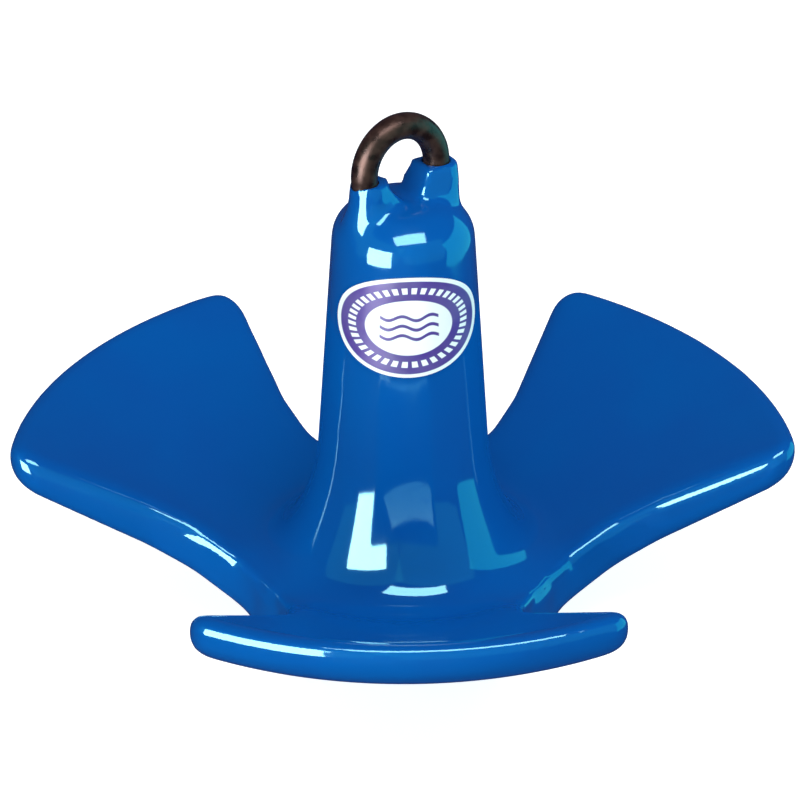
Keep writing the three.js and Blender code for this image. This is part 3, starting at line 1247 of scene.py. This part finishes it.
@dataclass
class OvalLabel:
    """The oval label that is wrapped on the trunk."""

    sizes: FrameSizes
    gaps: Clearance
    half_arc: float = 29.0 * MM
    half_height: float = 19.0 * MM
    thickness: float = 0.4 * MM
    trunk_radius: float = 27.0 * MM
    sides: int = 96
    rings: int = 14
    ringed_share: float = 0.95
    stand_off: float = 2.0 * MM

    def build(self, coat: Piece) -> Piece:
        """Models the label flat, bends it round the trunk and lays it on the coat.

        Args:
            coat: The finished coat.

        Returns:
            The finished label.
        """
        bpy.ops.mesh.primitive_circle_add(vertices=self.sides, radius=1.0, fill_type="NGON")
        label = settle(named("oval_label"))
        with editing(label):
            bpy.ops.mesh.select_all(action="SELECT")
            for _ in range(self.rings):
                bpy.ops.mesh.inset(thickness=self.ringed_share / self.rings)
            bpy.ops.mesh.poke()
        self._lay_uv(label)
        label.scale = (self.half_arc, self.half_height, 1.0)
        settle(label)
        self._bend(label)
        label.rotation_euler.z = self.sizes.label_azimuth
        label.location.z = self.sizes.label_height
        settle(label)
        shape_with(
            label, "SHRINKWRAP", target=coat, wrap_method="PROJECT", use_negative_direction=True,
            use_positive_direction=True, offset=self.gaps.label_to_coat,
        )
        shape_with(label, "SOLIDIFY", thickness=self.thickness, offset=1.0)
        pick_only(label)
        bpy.ops.object.shade_smooth_by_angle(angle=SMOOTH_ANGLE)
        label.data.materials.append(PrintedLabel().material())
        return label

    def _lay_uv(self, label: Piece) -> None:
        """Gives the flat round label a UV map from 0 to 1."""
        layer = label.data.uv_layers.new(name="label_face")
        for loop in label.data.loops:
            place = label.data.vertices[loop.vertex_index].co
            layer.data[loop.index].uv = (0.5 + place.x / 2, 0.5 + place.y / 2)

    def _bend(self, label: Piece) -> None:
        """Rolls the flat label into an arc about +Z whose middle faces +X."""
        for vertex in label.data.vertices:
            angle = vertex.co.x / self.trunk_radius
            outside = self.trunk_radius + self.stand_off
            vertex.co = (outside * math.cos(angle), outside * math.sin(angle), vertex.co.y)


# ------------------------------------------------------------------ studio


def direction(azimuth: float, elevation: float) -> Vector:
    """A unit vector from an azimuth and an elevation in degrees."""
    turn, rise = math.radians(azimuth), math.radians(elevation)
    return Vector((math.cos(turn) * math.cos(rise), math.sin(turn) * math.cos(rise), math.sin(rise)))


@dataclass(frozen=True)
class SoftBox:
    """A rectangular studio light, given by the part of the sky that it fills as the anchor sees it.

    Attributes:
        name: The light's name.
        azimuths: Its two sides, in degrees from +X.
        elevations: Its lower and upper edge, in degrees above the horizon.
        radiance: How bright it looks.
        colour: Its colour.
        distance: How far it stands from the anchor.
        mirrored: Whether it shows in glossy surfaces.
        lighting: Whether it lights matt surfaces.
    """

    name: str
    azimuths: Point
    elevations: Point
    radiance: float
    colour: Colour = (1.0, 1.0, 1.0)
    distance: float = 1.3
    mirrored: bool = True
    lighting: bool = True

    def build(self, target: Vector) -> None:
        """Adds the light, turned to the target."""
        elevation = sum(self.elevations) / 2
        away = direction(sum(self.azimuths) / 2, elevation)
        width = math.radians(self.azimuths[1] - self.azimuths[0]) * math.cos(math.radians(elevation))
        height = math.radians(self.elevations[1] - self.elevations[0])
        bpy.ops.object.light_add(type="AREA", location=target + away * self.distance)
        light = bpy.context.view_layer.objects.active
        light.name = self.name
        light.data.name = self.name
        light.rotation_euler = away.to_track_quat("Z", "Y").to_euler()
        light.data.shape = "RECTANGLE"
        light.data.size = 2 * self.distance * math.tan(width / 2)
        light.data.size_y = 2 * self.distance * math.tan(height / 2)
        light.data.energy = self.radiance * math.pi * light.data.size * light.data.size_y
        light.data.color = self.colour
        light.visible_glossy = self.mirrored
        light.visible_diffuse = self.lighting


@dataclass
class Studio:
    """The pale floor, the soft light and the camera."""

    camera_azimuth: float = -120.95
    camera_elevation: float = 28.42
    camera_distance: float = 1.4885
    lens: float = 185.1
    target: Vector = field(default_factory=lambda: Vector((-0.0010, 0.0006, 0.0955)))
    floor_size: float = 6.0
    fill: Colour = (0.45, 0.47, 0.51)
    mirror_fill: Colour = (0.03, 0.03, 0.10)
    boxes: tuple[SoftBox, ...] = (
        SoftBox("strip_box", (-178.0, -139.0), (-14.0, 27.0), 19.0, lighting=False),
        SoftBox("top_box", (-144.0, -64.0), (50.0, 68.0), 10.0, lighting=False),
        SoftBox("top_fill", (-142.0, -62.0), (50.0, 84.0), 5.0, mirrored=False),
        SoftBox("right_panel", (-51.0, 12.0), (-19.0, 30.0), 1.6, (0.06, 0.85, 0.85)),
        SoftBox("left_sky", (-200.0, -125.0), (-10.0, 48.0), 0.35, (0.20, 1.0, 0.80), 1.8, lighting=False),
        SoftBox("right_sky", (-125.0, -50.0), (-10.0, 48.0), 0.35, (0.20, 1.0, 0.80), 1.8, lighting=False),
        SoftBox("front_fill", (-165.0, -105.0), (-30.0, 14.0), 4.2, (0.80, 1.0, 0.86), mirrored=False),
    )

    def build(self) -> None:
        """Adds everything round the anchor."""
        self._floor()
        self._world()
        for box in self.boxes:
            box.build(self.target)
        self._camera()

    def _floor(self) -> None:
        """Lays the paper, which only the camera and the shadows see."""
        bpy.ops.mesh.primitive_grid_add(x_subdivisions=8, y_subdivisions=8, size=self.floor_size)
        floor = settle(named("studio_floor"))
        floor.data.materials.append(PaleFloor().material())
        floor.visible_glossy = False
        floor.visible_diffuse = False

    def _world(self) -> None:
        """Fills the studio with soft light, white behind the anchor and dim in reflections."""
        world = bpy.data.worlds.new("studio_air")
        bpy.context.scene.world = world
        world.use_nodes = True
        shader = Shader(world.node_tree)
        air = world.node_tree.nodes["Background"]
        air.inputs["Color"].default_value = (*self.fill, 1.0)
        backdrop = shader.add("Background", Color=(1.0, 1.0, 1.0, 1.0))
        mirrored = shader.add("Background", Color=(*self.mirror_fill, 1.0))
        path = shader.add("LightPath")
        seen = shader.add("MixShader")
        shader.link(path.outputs["Is Camera Ray"], seen.inputs[0])
        shader.link(air.outputs[0], seen.inputs[1])
        shader.link(backdrop.outputs[0], seen.inputs[2])
        reflected = shader.add("MixShader")
        shader.link(path.outputs["Is Glossy Ray"], reflected.inputs[0])
        shader.link(seen.outputs[0], reflected.inputs[1])
        shader.link(mirrored.outputs[0], reflected.inputs[2])
        shader.link(reflected.outputs[0], world.node_tree.nodes["World Output"].inputs["Surface"])

    def _camera(self) -> None:
        """Places the camera and makes it the scene's."""
        away = direction(self.camera_azimuth, self.camera_elevation)
        bpy.ops.object.camera_add(location=self.target + away * self.camera_distance)
        camera = bpy.context.view_layer.objects.active
        camera.name = "studio_camera"
        camera.rotation_euler = away.to_track_quat("Z", "Y").to_euler()
        camera.data.lens = self.lens
        camera.data.sensor_width = 36.0
        camera.data.clip_start = 0.1
        camera.data.clip_end = 50.0
        bpy.context.scene.camera = camera


# ------------------------------------------------------------------ the anchor


@dataclass
class RiverAnchor:
    """The whole anchor, piece by piece."""

    gaps: Clearance = field(default_factory=Clearance)

    def build(self) -> None:
        """Builds each piece and puts it in its node's place."""
        sizes = FrameSizes.measured(self.gaps)
        eye = SteelEye(sizes)
        self._place(eye.build(), Node.EYE)
        cutters = [self._casting_room(), eye.swept("rod_room", self.gaps.coat_to_rod)]
        coat = VinylCoat(sizes, eye.half_spacing).build(cutters)
        label = OvalLabel(sizes, self.gaps).build(coat)
        self._place(coat, Node.COAT)
        self._place(label, Node.LABEL)
        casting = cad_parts[Node.CASTING.value]
        casting.data.materials.clear()
        casting.data.materials.append(CAST_IRON.material())
        log.info("%s: stays as in the frame", casting.name)

    def _casting_room(self) -> Piece:
        """A copy of the casting, fattened by the coat's clearance."""
        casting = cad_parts[Node.CASTING.value]
        room = bpy.data.objects.new("casting_room", casting.data.copy())
        bpy.context.scene.collection.objects.link(room)
        with editing(room, "VERT"):
            bpy.ops.mesh.select_all(action="SELECT")
            bpy.ops.mesh.remove_doubles(threshold=0.001 * MM)
            bpy.ops.transform.shrink_fatten(value=self.gaps.coat_to_casting, use_even_offset=True)
        return room

    def _place(self, piece: Piece, node: Node) -> None:
        """Puts a finished piece in the place of its node.

        Args:
            piece: The finished piece.
            node: The node that it stands for.
        """
        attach(piece, ROOT_BODY)
        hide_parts(node.value)
        log.info("%s: %d faces, stands for %s", piece.name, len(piece.data.polygons), node.value)


def main() -> None:
    """Builds the anchor and its studio."""
    logging.basicConfig(level=logging.INFO, format="%(name)s: %(message)s")
    bpy.context.scene.view_settings.view_transform = "Standard"
    RiverAnchor().build()
    Studio().build()


if __name__ == "__main__":
    main()
